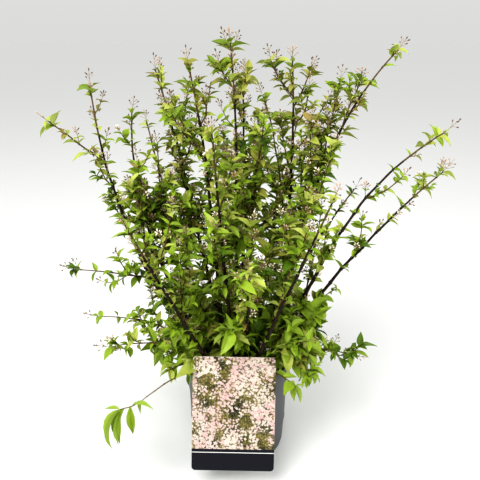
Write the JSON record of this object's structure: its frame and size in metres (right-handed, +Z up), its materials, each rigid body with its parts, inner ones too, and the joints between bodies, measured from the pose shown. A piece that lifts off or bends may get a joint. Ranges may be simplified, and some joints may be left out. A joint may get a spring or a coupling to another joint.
{
  "type": "potted pink deutzia shrub",
  "caption": "Young pink deutzia in bud: upright and arching leafy canes in a round nursery pot with a plain picture card.",
  "frame": {"origin": "centre of the pot's flat underside", "axes": "+Z up the plant; the picture card faces -Y; +X to the right as seen from the card's side"},
  "size_m": [0.7085, 0.5479, 0.7327],
  "materials": {
    "pot": "satin",
    "compost": "matte",
    "card": "satin",
    "bark": "matte",
    "foliage": "satin"
  },
  "bodies": {
    "root": {"cane_back_high": "bark", "cane_back_left": "bark", "cane_back_low": "bark", "cane_back_middle": "bark", "cane_back_right": "bark", "cane_front_high": "bark", "cane_front_left": "bark", "cane_front_middle": "bark", "cane_front_right": "bark", "cane_left_high": "bark", "cane_left_mid": "bark", "cane_left_tall": "bark", "cane_middle_high": "bark", "cane_middle_left": "bark", "cane_middle_right": "bark", "cane_right_high": "bark", "cane_right_lower": "bark", "cane_right_upper": "bark", "card": "card", "compost": "compost", "foliage_back_high": "foliage", "foliage_back_left": "foliage", "foliage_back_low": "foliage", "foliage_back_middle": "foliage", "foliage_back_right": "foliage", "foliage_front_high": "foliage", "foliage_front_left": "foliage", "foliage_front_middle": "foliage", "foliage_front_right": "foliage", "foliage_left_high": "foliage", "foliage_left_mid": "foliage", "foliage_left_tall": "foliage", "foliage_middle_high": "foliage", "foliage_middle_left": "foliage", "foliage_middle_right": "foliage", "foliage_right_high": "foliage", "foliage_right_lower": "foliage", "foliage_right_upper": "foliage", "pot": "pot", "skirt_back": "foliage", "skirt_back_left": "foliage", "skirt_back_right": "foliage", "skirt_droop": "foliage", "skirt_front": "foliage", "skirt_front_left": "foliage", "skirt_front_right": "foliage", "skirt_left": "foliage", "skirt_left_low": "foliage", "skirt_right": "foliage", "skirt_right_low": "foliage", "stem_foot": "bark"}
  },
  "joints": []
}
